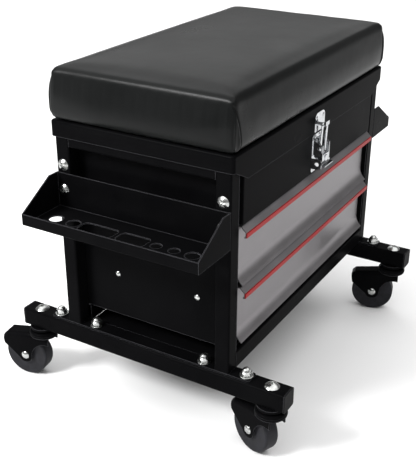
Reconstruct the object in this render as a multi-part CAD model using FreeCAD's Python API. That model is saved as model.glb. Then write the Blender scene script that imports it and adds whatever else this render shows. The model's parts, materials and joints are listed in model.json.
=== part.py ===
import FreeCAD, Part
import math
import os

V = FreeCAD.Vector

# ---------------------------------------------------------------- sizes, mm
# Rolling mechanic's seat: +X along the seat, front (drawers, latch) towards -Y, +Z up.

# casters
WHEEL_R = 32.0
WHEEL_W = 20.0
WHEEL_EDGE_R = 3.0
HUB_R = 9.0
HUB_STAND = 1.0
WHEEL_DISH = 1.2
RUN_GAP = 0.05
AXLE_R = 4.0
AXLE_HEAD_R = 5.8
AXLE_HEAD_H = 2.4
CASTER_TRAIL = 26.7
CASTER_H = 82.0
FORK_T = 2.0
FORK_SIDE_GAP = 1.5
FORK_TOP_Z = 68.5
FORK_REAR_Z = 63.0
FORK_REACH = 61.0
FORK_SKIRT_Z = 46.0
FORK_BOSS_R = 11.0
FORK_SHOULDER_R = 6.5
CROWN_R = 20.0
CROWN_H = 7.0
RACE_R = 18.0
RACE_H = 4.6
RACE_NECK_R = 13.0
RACE_NECK_H = 1.2
CASTER_BOLT_R = 5.0
CASTER_BOLT_HEAD_R = 9.5
CASTER_BOLT_HEAD_H = 4.5
CASTER_NUT_AF = 13.0
CASTER_NUT_H = 5.4
CASTER_NUT_GAP = 0.4
CASTER_ANGLES = {"rear_left": 99.0, "front_left": 68.0, "front_right": 105.0, "rear_right": 84.0}

# rolling base
BASE_TUBE = 25.0
BASE_WALL = 1.8
BASE_L = 398.0
BASE_X = 212.5
TUBE_CORNER_R = 2.6
PLUG_FLANGE = 1.5
PLUG_DEPTH = 14.0
STEM_Y = 176.0

# end frames
POST = 20.0
POST_WALL = 1.5
POST_Y = 112.0
POST_TOP_Z = 387.0
FOOT_W = POST
FOOT_T = 2.5
FOOT_L = 300.0
CROSSBAR_H = 30.0
RAIL_H = 24.0
BASE_SHEET = 1.2
BOLT_R = 4.0
BOLT_OFFSET = 29.5
BOLT_HEAD_R = 8.0
BOLT_HEAD_H = 2.8
NUT_AF = 13.0
NUT_FLANGE_R = 8.8
HOLE_GAP = 0.1

# toolbox
SHEET = 1.2
BOX_X = BASE_X - POST / 2
BOX_FRONT_Y = -121.0
BOX_BACK_Y = POST_Y + POST / 2 - 0.5
BOX_BOTTOM_Z = 131.5
BOX_TOP_Z = 386.0
FLOOR_Z = 296.4
PANEL_X = BOX_X - 6.5
PANEL_Y = -123.5
PANEL_BACK_Y = -100.0

# drawers
DRAWER_PITCH = 79.0
DRAWER_LOW_Z = 140.5
DRAWER_TRAVEL = 170.0
FRONT_T = 1.2
FRONT_FLAT_Y = -116.0
FRONT_TOP = 76.0
FLARE_H = 18.0
FLARE_OUT = 9.0
LIP_Y = -128.0
LIP_TOP = 69.5
LIP_BOTTOM = 62.5
STRIP_T = 1.2
TRAY_X = BOX_X - 14.5
TRAY_BACK_Y = 108.0
TRAY_SHEET = 1.0
TRAY_BOTTOM = 6.0
TRAY_TOP = 70.0
SLIDE_Z = 49.5
SLIDE_H = 20.0
SLIDE_D = 10.0
SLIDE_GAP = 0.5
SLIDE_FRONT_Y = -104.0
SLIDE_BACK_Y = 112.0
RIVET_YS = (51.7, -66.0)
RIVET_R = 2.0
RIVET_HEAD_R = 3.7

# end tool trays
SHELF_T = 1.5
SHELF_OUT_X = 291.5
SHELF_Y = 122.0
SHELF_Z = 277.0
SHELF_LIP_H = 14.5
SHELF_BACK_TOP_Z = 323.0
SHELF_GUSSET_FLAT = 16.5
SHELF_HOLES = ((98.0, 9.0), (72.0, 9.0), (-46.0, 7.0), (-70.0, 7.0), (-94.0, 9.0))
SHELF_SLOTS = ((36.0, 50.0, 22.0), (-14.0, 40.0, 22.0))
SCREW_R = 3.0
SCREW_HEAD_R = 7.5
SCREW_HEAD_H = 3.2
TRAY_SCREW_Z = 301.0
BOX_SCREW_Z = 333.0

# lid and cushion
PAN_X = BASE_X + POST / 2 + 2.0
PAN_Y = POST_Y + POST / 2 + 4.0
PAN_T = 1.0
PAN_BOTTOM_Z = 369.0
PAN_TOP_Z = 389.5
PAN_EDGE_R = 4.0
APRON_Z = 354.0
APRON_IN_X = 191.0
APRON_OUT_X = PAN_X - 4.5
BOARD_X = PAN_X - 10.5
BOARD_Y = PAN_Y - 10.0
BOARD_T = 12.0
SEAT_X = PAN_X + 3.0
SEAT_Y = PAN_Y + 3.0
SEAT_TOP_Z = 448.5
SEAT_EDGE_R = 13.0
SEAT_GAP = 0.3
SEAT_SCREW = (150.0, 70.0)

# rear hinges
HINGE_X = 130.0
HINGE_W = 60.0
HINGE_Y = POST_Y + POST / 2 + 2.5
HINGE_Z = 365.5
HINGE_R = 3.0
HINGE_PIN_R = 1.25
LEAF_T = 1.5
LEAF_H = 21.0
KNUCKLE_GAP = 0.3

# draw latch
LATCH_W = 30.0
LATCH_BASE_Z = (300.5, 351.0)
LATCH_T = 1.5
LEVER_PIVOT = (-134.0, 334.0)
LEVER_W = 22.0
LEVER_LOW_Z = 313.0
LOOP_PIVOT = (-132.6, 325.0)
LOOP_TOP_Z = 366.0
LOOP_Y = -134.3
LOOP_WIRE_R = 1.5
LOOP_HALF = 7.6
LATCH_PIN_R = 1.5
KEEPER_Z = (355.5, 380.0)
KEEPER_LIP_Y = -138.0
KEEPER_LIP_H = 4.6


# ---------------------------------------------------------------- helpers
def box(x0, x1, y0, y1, z0, z1):
    return Part.makeBox(x1 - x0, y1 - y0, z1 - z0, V(x0, y0, z0))


def cyl(x, y, z, r, h, axis=(0, 0, 1)):
    return Part.makeCylinder(r, h, V(x, y, z), V(*axis))


def poly(points):
    wire = Part.makePolygon([V(*p) for p in points] + [V(*points[0])])
    return Part.Face(wire)


def prism_x(points, x0, x1):
    return poly([(x0, y, z) for y, z in points]).extrude(V(x1 - x0, 0, 0))


def prism_y(points, y0, y1):
    return poly([(x, y0, z) for x, z in points]).extrude(V(0, y1 - y0, 0))


def prism_z(points, z0, z1):
    return poly([(x, y, z0) for x, y in points]).extrude(V(0, 0, z1 - z0))


def fuse(shapes):
    whole = shapes[0]
    for s in shapes[1:]:
        whole = whole.fuse(s)
    return whole.removeSplitter()


def cut(shape, tools):
    for t in tools:
        shape = shape.cut(t)
    return shape


def group(shapes):
    return Part.makeCompound(shapes)


def mirror_x(shape):
    return shape.mirror(V(0, 0, 0), V(1, 0, 0))


def mirror_y(shape):
    return shape.mirror(V(0, 0, 0), V(0, 1, 0))


def edges_along(shape, axis, test=lambda e: True):
    found = []
    for e in shape.Edges:
        if e.Curve.TypeId != "Part::GeomLine":
            continue
        d = e.Vertexes[-1].Point - e.Vertexes[0].Point
        if d.Length > 1e-6 and abs(d.normalize().dot(V(*axis))) > 0.999 and test(e):
            found.append(e)
    return found


def rounded_box(x0, x1, y0, y1, z0, z1, r, axis):
    solid = box(x0, x1, y0, y1, z0, z1)
    return solid.makeFillet(r, edges_along(solid, axis))


def square_tube(x0, x1, y0, y1, z0, z1, wall, axis):
    """Hollow tube with rounded long edges, open at both ends."""
    outer = rounded_box(x0, x1, y0, y1, z0, z1, TUBE_CORNER_R, axis)
    g = [0 if a else wall for a in axis]
    far = [1 if a else 0 for a in axis]
    inner = rounded_box(
        x0 + g[0] - far[0], x1 - g[0] + far[0],
        y0 + g[1] - far[1], y1 - g[1] + far[1],
        z0 + g[2] - far[2], z1 - g[2] + far[2],
        TUBE_CORNER_R - 1.2, axis)
    return outer.cut(inner)


def hexagon(x, y, z, af, h):
    r = af / math.sqrt(3)
    points = [(x + r * math.cos(math.radians(60 * i)),
               y + r * math.sin(math.radians(60 * i))) for i in range(6)]
    return prism_z(points, z, z + h)


def dome(x, y, z, r, h, axis=(0, 0, 1)):
    """Low round head of radius r and height h: a slice of a ball standing on its flat."""
    ball_r = (r * r + h * h) / (2 * h)
    a = V(*axis)
    ball = Part.makeSphere(ball_r, V(x, y, z) + a * (h - ball_r))
    return ball.common(Part.makeCylinder(r, h + 1, V(x, y, z), a))


def round_corners(points, radii):
    """Edges of an open line in a plane, with its inner corners rounded."""
    edges = []
    start = points[0]
    for i in range(1, len(points) - 1):
        p, a, b = points[i], points[i - 1], points[i + 1]
        u = (a - p).normalize()
        w = (b - p).normalize()
        angle = u.getAngle(w)
        r = radii[i]
        if r < 0.01 or abs(angle - math.pi) < 0.01:
            edges.append(Part.LineSegment(start, p).toShape())
            start = p
            continue
        back = r / math.tan(angle / 2)
        p0 = p + u * back
        p1 = p + w * back
        mid_dir = (u + w).normalize()
        centre = p + mid_dir * (r / math.sin(angle / 2))
        middle = centre - mid_dir * r
        if (p0 - start).Length > 1e-6:
            edges.append(Part.LineSegment(start, p0).toShape())
        edges.append(Part.Arc(p0, middle, p1).toShape())
        start = p1
    edges.append(Part.LineSegment(start, points[-1]).toShape())
    return edges


def sheet_face(points, t, r, x):
    """Face at this x of bent sheet: points (y, z) run along one side, t goes to their left."""
    pts = [V(x, y, z) for y, z in points]
    side = []
    turns = [0.0]
    for i in range(len(pts) - 1):
        d = (pts[i + 1] - pts[i]).normalize()
        side.append(V(0, -d.z, d.y))
    other = [pts[0] + side[0] * t]
    for i in range(1, len(pts) - 1):
        a, b = side[i - 1], side[i]
        bis = (a + b).normalize()
        other.append(pts[i] + bis * (t / bis.dot(a)))
        turns.append((pts[i] - pts[i - 1]).cross(pts[i + 1] - pts[i]).x)
    other.append(pts[-1] + side[-1] * t)
    turns.append(0.0)
    r_main = [r + t if k > 0 else r for k in turns]
    r_other = [r if k > 0 else r + t for k in turns]
    edges = round_corners(pts, r_main)
    edges.append(Part.LineSegment(pts[-1], other[-1]).toShape())
    edges += round_corners(other, r_other)
    edges.append(Part.LineSegment(other[0], pts[0]).toShape())
    return Part.Face(Part.Wire(Part.__sortEdges__(edges)))


# ---------------------------------------------------------------- rolling base
TUBE_LOW = CASTER_H
TUBE_HIGH = CASTER_H + BASE_TUBE
FOOT_TOP = TUBE_HIGH + FOOT_T
POST_OUT_X = BASE_X + POST / 2
POST_IN_X = BASE_X - POST / 2
POST_OUT_Y = POST_Y + POST / 2
POST_IN_Y = POST_Y - POST / 2
BOLT_YS = [s * (POST_Y + k * BOLT_OFFSET) for s in (-1, 1) for k in (-1, 1)]


def base_tube():
    half = BASE_TUBE / 2
    end = BASE_L / 2 - PLUG_FLANGE
    tube = square_tube(BASE_X - half, BASE_X + half, -end, end, TUBE_LOW, TUBE_HIGH, BASE_WALL, (0, 1, 0))
    holes = [cyl(BASE_X, y, TUBE_LOW - 1, BOLT_R + HOLE_GAP, BASE_TUBE + 2) for y in BOLT_YS]
    holes += [cyl(BASE_X, y, TUBE_LOW - 1, CASTER_BOLT_R + HOLE_GAP, BASE_TUBE + 2) for y in (-STEM_Y,
                                                                                              STEM_Y)]
    return cut(tube, holes)


def tube_plug():
    half = BASE_TUBE / 2
    inner = half - BASE_WALL - HOLE_GAP
    end = BASE_L / 2
    face = rounded_box(BASE_X - half, BASE_X + half, end - PLUG_FLANGE, end, TUBE_LOW, TUBE_HIGH,
                       TUBE_CORNER_R, (0, 1, 0))
    z = TUBE_LOW + half
    tail = box(BASE_X - inner, BASE_X + inner, end - PLUG_DEPTH, end - PLUG_FLANGE, z - inner, z + inner)
    tail = tail.makeFillet(1.5, edges_along(tail, (0, 1, 0)))
    return fuse([face, tail])


def foot_bar():
    half = FOOT_W / 2
    bar = rounded_box(BASE_X - half, BASE_X + half, -FOOT_L / 2, FOOT_L / 2, TUBE_HIGH, FOOT_TOP, 3.0,
                      (0, 0, 1))
    return cut(bar, [cyl(BASE_X, y, TUBE_HIGH - 1, BOLT_R + HOLE_GAP, FOOT_T + 2) for y in BOLT_YS])


def frame_bolt(y):
    head = dome(BASE_X, y, TUBE_LOW, BOLT_HEAD_R, BOLT_HEAD_H, (0, 0, -1))
    shank = cyl(BASE_X, y, TUBE_LOW - 0.2, BOLT_R, BASE_TUBE + FOOT_T + 8)
    return fuse([head, shank])


def acorn_nut(y):
    flange = cyl(BASE_X, y, FOOT_TOP, NUT_FLANGE_R, 1.6)
    flange = flange.makeFillet(0.6,
                               [e for e in flange.Edges if abs(e.BoundBox.ZMin - FOOT_TOP - 1.6) < 1e-6])
    body = hexagon(BASE_X, y, FOOT_TOP + 1, NUT_AF, 6.2)
    body = body.common(dome(BASE_X, y, FOOT_TOP + 1, 9.0, 8.4))
    cap = dome(BASE_X, y, FOOT_TOP + 6.2, 5.7, 5.6)
    bore = cyl(BASE_X, y, FOOT_TOP - 1, BOLT_R + RUN_GAP, 10.2)
    return fuse([flange, body, cap]).cut(bore)


# ---------------------------------------------------------------- casters
def caster_bolt(y):
    head = dome(BASE_X, y, TUBE_HIGH, CASTER_BOLT_HEAD_R, CASTER_BOLT_HEAD_H)
    socket = hexagon(BASE_X, y, TUBE_HIGH + 1.6, 6.0, 5)
    low = FORK_TOP_Z - FORK_T - CASTER_NUT_GAP - CASTER_NUT_H - 0.4
    shank = cyl(BASE_X, y, low, CASTER_BOLT_R, TUBE_HIGH + 0.5 - low)
    return fuse([head.cut(socket), shank])


def caster_nut(y):
    high = FORK_TOP_Z - FORK_T - CASTER_NUT_GAP
    nut = hexagon(BASE_X, y, high - CASTER_NUT_H, CASTER_NUT_AF, CASTER_NUT_H)
    return nut.cut(cyl(BASE_X, y, high - CASTER_NUT_H - 1, CASTER_BOLT_R + RUN_GAP, CASTER_NUT_H + 2))


def caster_race(y):
    disc = cyl(BASE_X, y, CASTER_H - RACE_H, RACE_R, RACE_H)
    disc = disc.makeFillet(1.6, [e for e in disc.Edges if abs(e.BoundBox.ZMax - CASTER_H + RACE_H) < 1e-6])
    neck = cyl(BASE_X, y, CASTER_H - RACE_H - RACE_NECK_H, RACE_NECK_R, RACE_NECK_H + 0.5)
    bore = cyl(BASE_X, y, CASTER_H - RACE_H - RACE_NECK_H - 1, CASTER_BOLT_R + RUN_GAP,
               RACE_H + RACE_NECK_H + 2)
    return fuse([disc, neck]).cut(bore)


def fork_profile(grow):
    """Outline of the pressed fork in the wheel's plane, the trail along +X; grow is 0 outside, less inside."""
    g = grow
    top, rear, c, z = FORK_TOP_Z + g, FORK_REAR_Z + g, CASTER_TRAIL, WHEEL_R
    far = FORK_REACH + g
    low = FORK_SKIRT_Z
    edges = [((-12, low + 9), (-12, top)), ((-12, top), (20, top)), ((20, top), (far - 5, rear)),
             ((far - 5, rear), (far, rear - 5)), ((far, rear - 5), (far - 2, low)),
             ((far - 2, low), (c + FORK_BOSS_R * 0.9, z - FORK_BOSS_R * 0.43))]
    lines = [Part.LineSegment(V(ax, 0, az), V(bx, 0, bz)).toShape() for (ax, az), (bx, bz) in edges]
    boss = Part.Arc(V(c + FORK_BOSS_R * 0.9, 0, z - FORK_BOSS_R * 0.43), V(c, 0, z - FORK_BOSS_R),
                    V(c - FORK_BOSS_R, 0, z)).toShape()
    waist = Part.Arc(V(c - FORK_BOSS_R, 0, z), V(9.5, 0, 48), V(-12, 0, low + 9)).toShape()
    return Part.Face(Part.Wire(Part.__sortEdges__(lines + [boss, waist])))


def pressed_body(face, half, shoulder):
    """Side outline drawn out to the full width, its top and back edges rounded over."""
    body = face.translated(V(0, -half, 0)).extrude(V(0, 2 * half, 0))
    rim = []
    for e in body.Edges:
        b = e.BoundBox
        on_side = abs(abs(b.YMin) - half) < 1e-3 and abs(b.YMax - b.YMin) < 1e-3
        if on_side and b.ZMin > FORK_REAR_Z - 6.1 and b.XMax > -11.9 and b.ZMax - b.ZMin < 8:
            rim.append(e)
    return body.makeFillet(shoulder, rim)


def caster_fork():
    """Fork with its stem axis on Z and its trail along +X, centred on Y: a pressed hood with two legs."""
    half = WHEEL_W / 2 + FORK_SIDE_GAP
    out = half + FORK_T
    outer = pressed_body(fork_profile(0), out, FORK_SHOULDER_R)
    inner = pressed_body(fork_profile(-FORK_T), half, FORK_SHOULDER_R - FORK_T + 0.2)
    inner = fuse([inner, box(-40, FORK_REACH - FORK_T - 2.2, -half, half, 0, FORK_REAR_Z - FORK_T - 5)])
    body = outer.cut(inner)
    plate = cyl(0, 0, FORK_TOP_Z - FORK_T, CROWN_R - 1.5, FORK_T)
    crown = cyl(0, 0, FORK_TOP_Z - 0.5, CROWN_R, CROWN_H + 0.5)
    top = FORK_TOP_Z + CROWN_H
    crown = crown.makeFillet(2.6, [e for e in crown.Edges if abs(e.BoundBox.ZMin - top) < 1e-6])
    rib = Part.makeTorus(CROWN_R - 1.2, 1.7, V(0, 0, FORK_TOP_Z + 1.7), V(0, 0, 1))
    stem = cyl(0, 0, FORK_TOP_Z - 30, CASTER_BOLT_R + RUN_GAP, 60)
    axle = cyl(CASTER_TRAIL, -30, WHEEL_R, AXLE_R + HOLE_GAP, 60, (0, 1, 0))
    return cut(fuse([body, plate, crown, rib]), [stem, axle])


def caster_axle():
    out = WHEEL_W / 2 + FORK_SIDE_GAP + FORK_T
    shaft = cyl(CASTER_TRAIL, -out - 0.2, WHEEL_R, AXLE_R, 2 * out + 0.4, (0, 1, 0))
    near = dome(CASTER_TRAIL, -out, WHEEL_R, AXLE_HEAD_R, AXLE_HEAD_H, (0, -1, 0))
    far = dome(CASTER_TRAIL, out, WHEEL_R, AXLE_HEAD_R, AXLE_HEAD_H, (0, 1, 0))
    return fuse([shaft, near, far])


def caster_wheel():
    half = WHEEL_W / 2
    bore = AXLE_R + RUN_GAP
    hub = half + HUB_STAND
    e = WHEEL_EDGE_R
    k = e * (1 - math.sqrt(0.5))
    side = [(bore, hub), (HUB_R, hub), (HUB_R + 1.0, half - WHEEL_DISH), (WHEEL_R - e, half)]
    edges = []

    def p(r, y):
        return V(CASTER_TRAIL + r, y, WHEEL_R)

    def line(a, b):
        edges.append(Part.LineSegment(a, b).toShape())

    for a, b in zip(side, side[1:]):
        line(p(*a), p(*b))
    edges.append(Part.Arc(p(WHEEL_R - e, half), p(WHEEL_R - k, half - k), p(WHEEL_R, half - e)).toShape())
    line(p(WHEEL_R, half - e), p(WHEEL_R, e - half))
    edges.append(Part.Arc(p(WHEEL_R, e - half), p(WHEEL_R - k, k - half), p(WHEEL_R - e, -half)).toShape())
    for a, b in zip(side[::-1], side[-2::-1]):
        line(p(a[0], -a[1]), p(b[0], -b[1]))
    line(p(bore, -hub), p(bore, hub))
    face = Part.Face(Part.Wire(edges))
    return face.revolve(V(CASTER_TRAIL, 0, WHEEL_R), V(0, 1, 0), 360)


def place_caster(shape, where):
    x = BASE_X if where.endswith("right") else -BASE_X
    y = STEM_Y if where.startswith("rear") else -STEM_Y
    turned = shape.rotated(V(0, 0, 0), V(0, 0, 1), CASTER_ANGLES[where])
    return turned.translated(V(x, y, 0))


# ---------------------------------------------------------------- end frames
def post(y):
    half = POST / 2
    tube = square_tube(BASE_X - half, BASE_X + half, y - half, y + half, FOOT_TOP, POST_TOP_Z, POST_WALL,
                       (0, 0, 1))
    return cut(tube, [cyl(BASE_X - POST, y, z, SCREW_R + HOLE_GAP, 2 * POST, (1, 0, 0))
                      for z in (TRAY_SCREW_Z, BOX_SCREW_Z)])


def crossbar():
    half = POST / 2
    return square_tube(BASE_X - half, BASE_X + half, -POST_IN_Y, POST_IN_Y, POST_TOP_Z - CROSSBAR_H,
                       POST_TOP_Z,
                       POST_WALL, (0, 1, 0))


def rail():
    return square_tube(-POST_IN_X, POST_IN_X, -POST_OUT_Y, -POST_OUT_Y + RAIL_H, TUBE_HIGH,
                       TUBE_HIGH + RAIL_H,
                       POST_WALL, (1, 0, 0))


def base_sheet():
    """Bottom sheet that closes the frame between the two long rails."""
    inner = POST_OUT_Y - RAIL_H
    return box(-POST_IN_X, POST_IN_X, -inner, inner, TUBE_HIGH, TUBE_HIGH + BASE_SHEET)


def frame_screw(y, z, seat_x):
    head = dome(seat_x, y, z, SCREW_HEAD_R, SCREW_HEAD_H, (1, 0, 0))
    for turn in (0, 90):
        slot = box(seat_x + 1.4, seat_x + 6, y - 3.6, y + 3.6, z - 0.7, z + 0.7)
        head = head.cut(slot.rotated(V(0, y, z), V(1, 0, 0), turn))
    shank = cyl(BOX_X - 3, y, z, SCREW_R, seat_x + 0.2 - BOX_X + 3, (1, 0, 0))
    return fuse([head, shank])


# ---------------------------------------------------------------- toolbox
def box_shell():
    inner = BOX_X - SHEET
    back_in = BOX_BACK_Y - SHEET
    bottom = box(-BOX_X, BOX_X, BOX_FRONT_Y + 6, BOX_BACK_Y, BOX_BOTTOM_Z, BOX_BOTTOM_Z + SHEET)
    back = box(-BOX_X, BOX_X, back_in, BOX_BACK_Y, BOX_BOTTOM_Z, BOX_TOP_Z)
    left = box(-BOX_X, -inner, BOX_FRONT_Y, BOX_BACK_Y, BOX_BOTTOM_Z, BOX_TOP_Z)
    right = box(inner, BOX_X, BOX_FRONT_Y, BOX_BACK_Y, BOX_BOTTOM_Z, BOX_TOP_Z)
    split_z = DRAWER_LOW_Z + DRAWER_PITCH - 2.2
    divider = box(-BOX_X, BOX_X, -106, -86, split_z, split_z + SHEET)
    stiffener = box(-BOX_X, BOX_X, -87.2, -86, split_z, split_z + 4)
    shell = fuse([bottom, back, left, right, divider, stiffener])
    holes = [cyl(-BOX_X - 2, y, z, SCREW_R + HOLE_GAP, 2 * BOX_X + 4, (1, 0, 0))
             for y in (-POST_Y, POST_Y) for z in (TRAY_SCREW_Z, BOX_SCREW_Z)]
    holes += [cyl(-BOX_X - 2, y, z, RIVET_R + HOLE_GAP, 2 * BOX_X + 4, (1, 0, 0))
              for y in RIVET_YS for z in slide_heights()]
    return cut(shell, holes)


def slide_heights():
    return [DRAWER_LOW_Z + SLIDE_Z, DRAWER_LOW_Z + DRAWER_PITCH + SLIDE_Z]


def compartment_floor():
    inner = BOX_X - SHEET
    return box(-inner, inner, PANEL_BACK_Y, BOX_BACK_Y - SHEET, FLOOR_Z, FLOOR_Z + SHEET)


def upper_front_panel():
    """Shallow pan between the posts: face, side returns, tabs to the box sides and a bottom return."""
    inner = BOX_X - SHEET
    low = FLOOR_Z + SHEET
    face = box(-PANEL_X, PANEL_X, PANEL_Y, PANEL_Y + SHEET, low, BOX_TOP_Z)
    parts = [face, box(-PANEL_X, PANEL_X, PANEL_Y, PANEL_BACK_Y + 6, low, low + SHEET)]
    for s in (-1, 1):
        a, b = sorted((s * PANEL_X, s * (PANEL_X - SHEET)))
        parts.append(box(a, b, PANEL_Y, PANEL_BACK_Y, low, BOX_TOP_Z))
        a, b = sorted((s * (PANEL_X - SHEET), s * inner))
        parts.append(box(a, b, PANEL_BACK_Y - SHEET, PANEL_BACK_Y, low, BOX_TOP_Z))
    panel = fuse(parts)
    front = edges_along(panel, (0, 0, 1), lambda e: e.BoundBox.YMax < PANEL_Y + 0.01)
    return panel.makeFillet(1.1, front)


def slide_channel(z):
    x1 = BOX_X - SHEET
    half = SLIDE_H / 2
    web = box(x1 - SHEET, x1, SLIDE_FRONT_Y, SLIDE_BACK_Y, z - half, z + half)
    top = box(x1 - SLIDE_D, x1, SLIDE_FRONT_Y, SLIDE_BACK_Y, z + half - SHEET, z + half)
    low = box(x1 - SLIDE_D, x1, SLIDE_FRONT_Y, SLIDE_BACK_Y, z - half, z - half + SHEET)
    channel = fuse([web, top, low])
    return cut(channel, [cyl(x1 - 3, y, z, RIVET_R + HOLE_GAP, 6, (1, 0, 0)) for y in RIVET_YS])


def slide_runner(z):
    wall = BOX_X - 2 * SHEET - SLIDE_GAP
    half = SLIDE_H / 2 - SHEET - SLIDE_GAP
    y1 = TRAY_BACK_Y
    web = box(TRAY_X, TRAY_X + SHEET, SLIDE_FRONT_Y + 1, y1, z - half, z + half)
    top = box(TRAY_X, wall, SLIDE_FRONT_Y + 1, y1, z + half - SHEET, z + half)
    low = box(TRAY_X, wall, SLIDE_FRONT_Y + 1, y1, z - half, z - half + SHEET)
    return fuse([web, top, low])


def slide_rivet(y, z):
    head = dome(BOX_X, y, z, RIVET_HEAD_R, 1.5, (1, 0, 0))
    inner = BOX_X - 2 * SHEET
    shank = cyl(inner - 0.1, y, z, RIVET_R, BOX_X - inner + 0.3, (1, 0, 0))
    tail = cyl(inner - 0.9, y, z, RIVET_R + 0.9, 0.9, (1, 0, 0))
    return fuse([head, shank, tail])


# ---------------------------------------------------------------- drawers
def drawer_tray(z0):
    t = TRAY_SHEET
    y0 = FRONT_FLAT_Y + FRONT_T
    low = z0 + TRAY_BOTTOM
    high = z0 + TRAY_TOP
    outer = box(-TRAY_X, TRAY_X, y0, TRAY_BACK_Y, low, high)
    inner = box(-TRAY_X + t, TRAY_X - t, y0 + t, TRAY_BACK_Y - t, low + t, high + 1)
    return outer.cut(inner)


def drawer_front(z0):
    """Bent sheet: top flange, sloped pull lip hooked under, flat face and a flared bottom edge."""
    flare_r = (FLARE_H ** 2 + FLARE_OUT ** 2) / (2 * FLARE_OUT)
    y = FRONT_FLAT_Y
    lip = sheet_face([(LIP_Y + 2.6, z0 + LIP_BOTTOM), (LIP_Y, z0 + LIP_BOTTOM), (LIP_Y, z0 + LIP_TOP),
                      (y - 5.5, z0 + FRONT_TOP), (y + FRONT_T, z0 + FRONT_TOP)], -FRONT_T, 0.6, -PANEL_X)
    lip = lip.extrude(V(2 * PANEL_X, 0, 0))
    flat = box(-PANEL_X, PANEL_X, y, y + FRONT_T, z0 + FLARE_H, z0 + FRONT_TOP - 0.3)
    centre = V(0, y - flare_r, z0 + FLARE_H)
    end = math.asin(FLARE_H / flare_r)

    def arc(radius):
        pts = [V(-PANEL_X, centre.y + radius * math.cos(a), centre.z - radius * math.sin(a))
               for a in (0, end / 2, end)]
        return pts, Part.Arc(*pts).toShape()

    outer, outer_edge = arc(flare_r)
    inner, inner_edge = arc(flare_r + FRONT_T)
    wire = Part.Wire([outer_edge, Part.LineSegment(outer[2], inner[2]).toShape(), inner_edge,
                      Part.LineSegment(inner[0], outer[0]).toShape()])
    flare = Part.Face(wire).extrude(V(2 * PANEL_X, 0, 0))
    return fuse([lip, flat, flare])


def drawer_strip(z0):
    strip = box(-PANEL_X, PANEL_X, LIP_Y - STRIP_T, LIP_Y, z0 + LIP_BOTTOM + 0.5, z0 + LIP_TOP - 0.5)
    front = edges_along(strip, (1, 0, 0), lambda e: e.BoundBox.YMax < LIP_Y - 0.5)
    return strip.makeFillet(0.5, front)


# ---------------------------------------------------------------- end trays
def shelf_tray():
    """Folded tool shelf on the right end: back plate, floor with tool holes, lip and end gussets."""
    t = SHELF_T
    x0 = POST_OUT_X
    x1 = SHELF_OUT_X
    y = SHELF_Y
    top = SHELF_BACK_TOP_Z
    floor = box(x0, x1, -y, y, SHELF_Z, SHELF_Z + t)
    back = box(x0, x0 + t, -y, y, SHELF_Z, top)
    lip = box(x1 - t, x1, -y, y, SHELF_Z, SHELF_Z + SHELF_LIP_H)
    profile = [(x0, SHELF_Z), (x1, SHELF_Z), (x1, SHELF_Z + SHELF_LIP_H), (x0 + SHELF_GUSSET_FLAT, top),
               (x0, top)]
    near = prism_y(profile, -y, -y + t)
    far = prism_y(profile, y - t, y)
    tray = fuse([floor, back, lip, near, far])
    middle = (x0 + x1) / 2 + 1
    tools = []
    for hy, r in SHELF_HOLES:
        tools.append(cyl(middle, hy, SHELF_Z - 1, r, t + 2))
    for sy, length, width in SHELF_SLOTS:
        slot = box(middle - width / 2, middle + width / 2, sy - length / 2, sy + length / 2, SHELF_Z - 1,
                   SHELF_Z + 4)
        tools.append(slot.makeFillet(6.0, edges_along(slot, (0, 0, 1))))
    for sy in (-POST_Y, POST_Y):
        tools.append(cyl(x0 - 1, sy, TRAY_SCREW_Z, SCREW_R + HOLE_GAP, t + 2, (1, 0, 0)))
    tray = cut(tray, tools)
    outer = edges_along(tray, (0, 1, 0),
                        lambda e: e.BoundBox.XMin > x1 - 0.01 and e.BoundBox.ZMax < SHELF_Z + 0.01)
    return tray.makeFillet(1.3, outer)


# ---------------------------------------------------------------- lid
def lid_pan():
    r = PAN_EDGE_R
    outer = rounded_box(-PAN_X, PAN_X, -PAN_Y, PAN_Y, PAN_BOTTOM_Z, PAN_TOP_Z, r, (0, 0, 1))
    outer = outer.makeFillet(r - 1, [e for e in outer.Edges if e.BoundBox.ZMin > PAN_TOP_Z - 0.01])
    x, y, top = PAN_X - PAN_T, PAN_Y - PAN_T, PAN_TOP_Z - PAN_T
    inner = rounded_box(-x, x, -y, y, PAN_BOTTOM_Z - 1, top, r - PAN_T, (0, 0, 1))
    inner = inner.makeFillet(r - 1 - PAN_T, [e for e in inner.Edges if e.BoundBox.ZMin > top - 0.01])
    apron = prism_y([(-APRON_OUT_X, PAN_BOTTOM_Z + 1), (-APRON_OUT_X, PAN_BOTTOM_Z), (-APRON_IN_X, APRON_Z),
                     (APRON_IN_X, APRON_Z), (APRON_OUT_X, PAN_BOTTOM_Z), (APRON_OUT_X, PAN_BOTTOM_Z + 1)],
                    -PAN_Y, -PAN_Y + PAN_T)
    pan = fuse([outer.cut(inner), apron])
    x, y = SEAT_SCREW
    return cut(pan,
               [cyl(sx * x, sy * y, PAN_TOP_Z - 3, 2.0 + 2 * HOLE_GAP, 5) for sx in (-1, 1) for sy in (-1,
                                                                                                       1)])


def seat_board():
    board = rounded_box(-BOARD_X, BOARD_X, -BOARD_Y, BOARD_Y, PAN_TOP_Z, PAN_TOP_Z + BOARD_T, 10.0,
                        (0, 0, 1))
    x, y = SEAT_SCREW
    return cut(board,
               [cyl(sx * x, sy * y, PAN_TOP_Z - 1, 2.0 + HOLE_GAP, 11) for sx in (-1, 1) for sy in (-1, 1)])


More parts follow.
